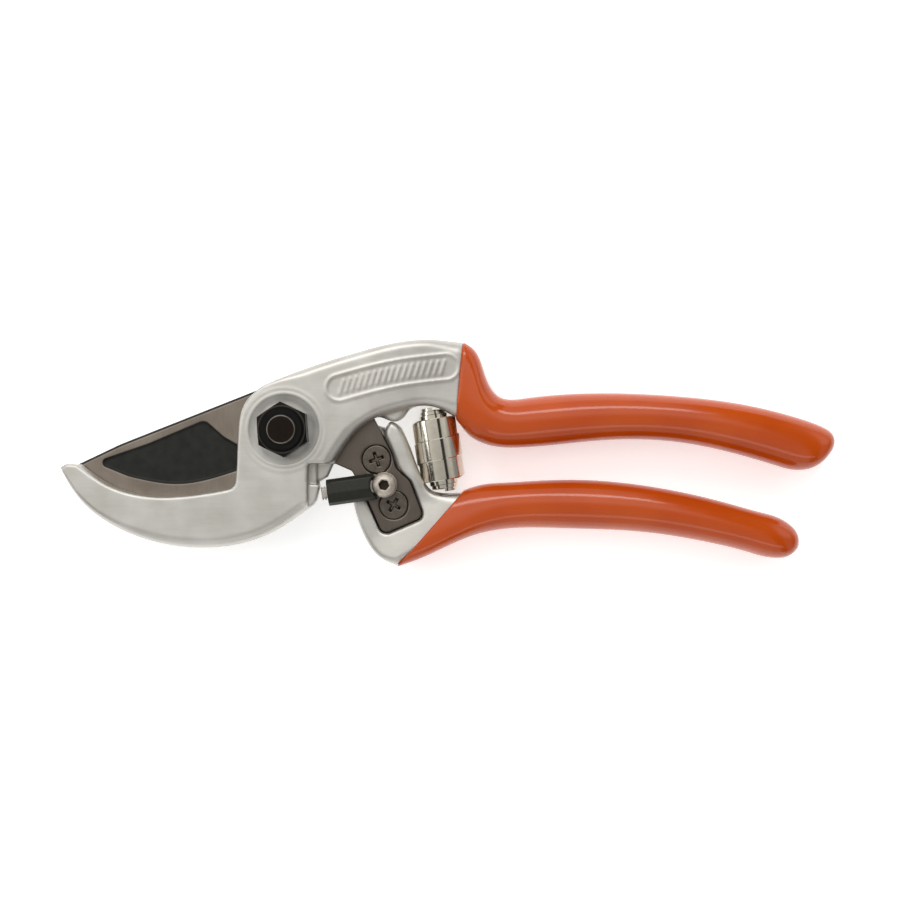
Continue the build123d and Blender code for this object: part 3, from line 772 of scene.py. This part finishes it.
def catch_plate():
    """The steel lever inside the sleeve, its bared tip notched on both sides."""
    block = Block((8.6, -21.5, 12.4), (31.5, -10.5, 15.6), 0.14)
    u, v = catch_axes(block)
    tip = smoothstep(15.5, 15.7, u)
    half = 1.9 - tip * 0.3 * (1 - np.cos(2 * math.pi * (u - 15.6) / 0.75))
    plate = np.maximum(np.abs(v) - half, np.maximum(-u, u - 17.3))
    outline = joined(plate, block.round_from(CATCH) - 3.5, 0.4)
    outline = np.maximum(outline, SCREW_HOLE - block.round_from(CATCH))

    def layer(z):
        return slab(outline, z, LEVER_REAR, LEVER_FRONT - 0.25 * tip, 0.15, 0.35)

    return block.mesh("catch_blank", layer, passes=2)


replace_node(catch_plate(), "catch_lever", "catch", ZINC)

# ------------------------------------------------------------------ grips
# Each station: a point on the upper edge, one on the lower edge, the depth along Z, and how
# square the section is.
UPPER_STATIONS = [
    (48.4, 24.45, 46.5, 3.1, 14.6, 3.8),
    (51.6, 22.3, 48.0, 1.1, 14.9, 3.2),
    (54.7, 15.4, 51.2, -2.2, 15.6, 2.4),
    (58.6, 9.3, 57.2, -4.5, 15.8, 2.3),
    (66.0, 8.9, 65.4, -4.8, 15.8, 2.2),
    (86.6, 10.3, 86.4, -2.9, 15.8, 2.2),
    (109.6, 9.3, 108.2, -3.35, 15.8, 2.2),
    (131.4, 6.1, 128.0, -7.6, 15.8, 2.2),
    (140.8, 3.6, 136.0, -10.0, 15.8, 2.2),
    (146.4, 1.7, 141.0, -11.1, 15.6, 2.2),
    (149.6, 0.1, 144.6, -10.7, 14.6, 2.2),
    (151.3, -3.4, 149.0, -7.5, 7.0, 2.1),
]
LOWER_STATIONS = [
    (48.7, -16.6, 30.0, -37.9, 13.4, 3.2),
    (52.4, -15.4, 36.2, -35.8, 14.2, 2.9),
    (60.4, -14.5, 50.8, -29.4, 15.6, 2.5),
    (78.3, -13.7, 75.3, -27.2, 15.8, 2.2),
    (98.4, -15.25, 96.6, -28.1, 15.8, 2.2),
    (121.2, -20.0, 118.2, -31.5, 15.8, 2.2),
    (131.0, -22.7, 127.4, -33.8, 15.8, 2.2),
    (136.6, -24.5, 132.6, -35.2, 15.4, 2.2),
    (139.9, -26.9, 136.6, -35.4, 13.6, 2.2),
    (141.5, -30.6, 140.2, -33.8, 6.0, 2.0),
]
# The rounded lip where the coating starts: how far along, and how far in from the form.
COATING_LIP = [(0.9, 1.3), (0.0, 0.95), (0.05, 0.5), (0.25, 0.18), (0.6, 0.0)]


def grip(name, stations, around=96):
    """A dipped grip as rings along its stations, closed at both ends."""
    dense = smooth(stations, 0.6)
    upper, lower = dense[:, 0:2], dense[:, 2:4]
    middle = (upper + lower) / 2
    run = np.concatenate([[0], np.cumsum(np.linalg.norm(np.diff(middle, axis=0), axis=1))])
    rings = list(COATING_LIP)
    rings += [(place, 0.0) for place in run if place > 1.0]
    angles = np.linspace(0, 2 * math.pi, around, endpoint=False)
    cosine, sine = np.cos(angles), np.sin(angles)
    points = []
    for place, inset in rings:
        values = [np.interp(place, run, column) for column in dense.T]
        top, bottom = np.array(values[0:2]), np.array(values[2:4])
        across = (top - bottom) / np.linalg.norm(top - bottom)
        wide = np.linalg.norm(top - bottom) / 2 - inset
        deep = values[4] / 2 - inset
        power = 2 / values[5]
        reach = wide * np.sign(cosine) * np.abs(cosine) ** power
        height = deep * np.sign(sine) * np.abs(sine) ** power
        centre = (top + bottom) / 2
        points.append(np.column_stack([
            centre[0] + across[0] * reach, centre[1] + across[1] * reach, GRIP_MIDDLE + height,
        ]))
    count = len(points)
    start_cap, end_cap = points[0].mean(axis=0), points[-1].mean(axis=0)
    points = np.vstack(points + [start_cap[None], end_cap[None]])
    faces = []
    for ring in range(count - 1):
        for k in range(around):
            after = (k + 1) % around
            faces.append((ring * around + k, ring * around + after,
                          (ring + 1) * around + after, (ring + 1) * around + k))
    for ring, cap in ((0, count * around), (count - 1, count * around + 1)):
        for k in range(0, around, 2):
            corners = [ring * around + (k + j) % around for j in range(3)]
            quad = (cap, *corners)
            faces.append(quad if ring == 0 else quad[::-1])
    return mesh_object(name, points, faces)


replace_node(grip("upper_dip", UPPER_STATIONS), "upper_grip", "root", COATING)
replace_node(grip("lower_dip", LOWER_STATIONS), "lower_grip", "lower", COATING)


# ------------------------------------------------------------------ spring
def volute_spring():
    """A strip wound as a double volute: three wide turns amidships, with the small end turns
    telescoped out of them."""
    length = np.linalg.norm(SPRING_FOOT - SPRING_TOP)
    way = (SPRING_FOOT - SPRING_TOP) / length
    side = np.array([-way[1], way[0]])
    # Each knot of one half: turns from the middle, radius, distance from the middle along the
    # axis, and half the width of the strip.
    knots = [(0.0, 6.4, 0.0, 2.95), (1.0, 5.95, 5.65, 2.95), (1.5, 5.75, 5.8, 2.9),
             (1.8, 5.0, 5.8, 2.7), (2.2, 4.3, 6.1, 2.4), (2.6, 3.95, 7.5, 1.9),
             (3.0, 3.75, 8.0, 1.8), (4.0, 3.35, 9.4, 1.4), (5.0, 2.95, 10.8, 0.9)]
    knots = [(-t, r, -s, h) for t, r, s, h in knots[:0:-1]] + knots
    turns, radii, places, halves = (np.array(column) for column in zip(*knots))
    turns_in_all = 10
    steps_a_turn = 72
    steps = np.linspace(turns[0], turns[-1], turns_in_all * steps_a_turn)
    radius = np.interp(steps, turns, radii)
    # The strip climbs mostly behind, so that its seams lie nearly square to the axis in front.
    lag = 0.72
    climb = steps - lag * np.sin(2 * math.pi * steps) / (2 * math.pi)
    place = np.interp(climb, turns, places) + length / 2
    half = np.interp(steps, turns, halves)
    # The strip's section: shares of its half width, and places through its thickness.
    section = [(-1.0, -0.17), (-1.0, 0.02), (-0.93, 0.17), (0.93, 0.17), (1.0, 0.02), (1.0, -0.17)]
    points = []
    for turn, r, s, h in zip(steps, radius, place, half):
        angle = 2 * math.pi * (turn + 0.25)
        for up, out in section:
            spot = SPRING_TOP + way * (s + up * h) + side * (r + out) * math.cos(angle)
            points.append((spot[0], spot[1], GRIP_MIDDLE + (r + out) * math.sin(angle)))
    faces = []
    n = len(section)
    for i in range(len(steps) - 1):
        for k in range(n):
            after = (k + 1) % n
            faces.append((i * n + k, i * n + after, (i + 1) * n + after, (i + 1) * n + k))
    for i in (0, len(steps) - 1):
        ends = [(0, 1, 4, 5), (1, 2, 3, 4)]
        faces += [tuple(i * n + k for k in (quad if i else quad[::-1])) for quad in ends]
    return mesh_object("spring_strip", np.array(points), faces, crease=25)


spring = volute_spring()
spring.data.materials.append(NICKEL)
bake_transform(spring)
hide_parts("volute_spring")


# ------------------------------------------------------------------ floor, light and camera
def studio_floor():
    """The pale floor just under the tool."""
    bpy.ops.mesh.primitive_plane_add(size=4, location=(0.05, 0, -0.0002))
    floor = bpy.context.object
    floor.name = "studio_floor"
    paper = bpy.data.materials.new("studio_paper")
    paper.use_nodes = True
    shader = paper.node_tree.nodes["Principled BSDF"]
    shader.inputs["Base Color"].default_value = (0.93, 0.93, 0.93, 1)
    shader.inputs["Emission Color"].default_value = (1, 1, 1, 1)
    shader.inputs["Emission Strength"].default_value = 0.5
    shader.inputs["Roughness"].default_value = 0.9
    floor.data.materials.append(paper)
    return floor


def sky_range(sky, value, start, end):
    """A share that goes from 0 to 1 as a value goes from start to end."""
    node = sky.nodes.new("ShaderNodeMapRange")
    node.inputs["From Min"].default_value = start
    node.inputs["From Max"].default_value = end
    sky.links.new(value, node.inputs["Value"])
    return node.outputs[0]


def sky_greys(sky, value, shades, blue=1.0):
    """Greys at places from 0 to 1, their blue a share of the rest."""
    node = sky.nodes.new("ShaderNodeValToRGB")
    for _ in shades[2:]:
        node.color_ramp.elements.new(0.5)
    for element, (place, grey) in zip(node.color_ramp.elements, shades):
        element.position = place
        element.color = (grey, grey, grey * blue, 1)
    sky.links.new(value, node.inputs["Fac"])
    return node.outputs["Color"]


def sky_mix(sky, first, kind="MIX"):
    """A mix of colours, with the first one linked."""
    node = sky.nodes.new("ShaderNodeMix")
    node.data_type = "RGBA"
    node.blend_type = kind
    sky.links.new(first, node.inputs[6])
    return node


def studio_sky():
    """A leaning gradient, even grey near the horizon, crossed by bright and dark strips."""
    world = bpy.data.worlds.new("studio_world")
    bpy.context.scene.world = world
    world.use_nodes = True
    sky = world.node_tree
    direction = sky.nodes.new("ShaderNodeTexCoord").outputs["Generated"]
    lean = sky.nodes.new("ShaderNodeVectorMath")
    lean.operation = "DOT_PRODUCT"
    lean.inputs[1].default_value = (-0.17, 0.97, -0.14)
    sky.links.new(direction, lean.inputs[0])
    shades = ((0.0, 0.65), (0.42, 0.42), (0.54, 1.3), (0.75, 1.2), (1.0, 0.8))
    gradient = sky_greys(sky, sky_range(sky, lean.outputs["Value"], -1.0, 1.0), shades, 0.98)
    split = sky.nodes.new("ShaderNodeSeparateXYZ")
    sky.links.new(direction, split.inputs[0])
    lowered = sky_mix(sky, gradient)
    lowered.inputs[7].default_value = (0.75, 0.75, 0.75, 1)
    sky.links.new(sky_range(sky, split.outputs["Z"], 0.45, 0.2), lowered.inputs[0])
    strips = ((0.03, 0.9), (0.05, 0.1), (0.14, 0.1), (0.18, 1.1), (0.63, 1.1), (0.65, 0.08),
              (0.74, 0.08), (0.78, 1.0), (0.9, 1.0), (0.97, 0.4))
    flags = sky_greys(sky, sky_range(sky, split.outputs["X"], -1.0, 1.0), strips)
    shaded = sky_mix(sky, lowered.outputs[2], "MULTIPLY")
    shaded.inputs[0].default_value = 1.0
    sky.links.new(flags, shaded.inputs[7])
    sky.links.new(shaded.outputs[2], sky.nodes["Background"].inputs["Color"])
    sky.nodes["Background"].inputs["Strength"].default_value = 1.0


def studio_lamps(floor):
    """Three soft lamps, each aimed at the floor's middle."""
    # Each lamp: its name, place, width and height, and power.
    lamps = [
        ("key", (0.0, 0.45, 0.50), (0.60, 0.14), 1.3),
        ("fill", (0.10, -0.60, 0.50), (0.70, 0.16), 0.4),
        ("side", (-0.65, 0.05, 0.45), (0.30, 0.30), 0.8),
    ]
    for name, place, size, power in lamps:
        light = bpy.data.lights.new(name, "AREA")
        light.shape = "RECTANGLE"
        light.size, light.size_y = size
        light.energy = power
        lamp = bpy.data.objects.new(name, light)
        lamp.location = place
        aim = floor.location - lamp.location
        lamp.rotation_euler = aim.to_track_quat("-Z", "Y").to_euler()
        bpy.context.scene.collection.objects.link(lamp)


def studio_camera():
    """The camera straight above the tool."""
    lens = bpy.data.cameras.new("camera")
    lens.sensor_width = 36
    lens.lens = 50.4
    camera = bpy.data.objects.new("camera", lens)
    camera.location = (0.04495, -0.0055, 0.358)
    bpy.context.scene.collection.objects.link(camera)
    bpy.context.scene.camera = camera
    bpy.context.scene.view_settings.view_transform = "Standard"


studio_lamps(studio_floor())
studio_sky()
studio_camera()
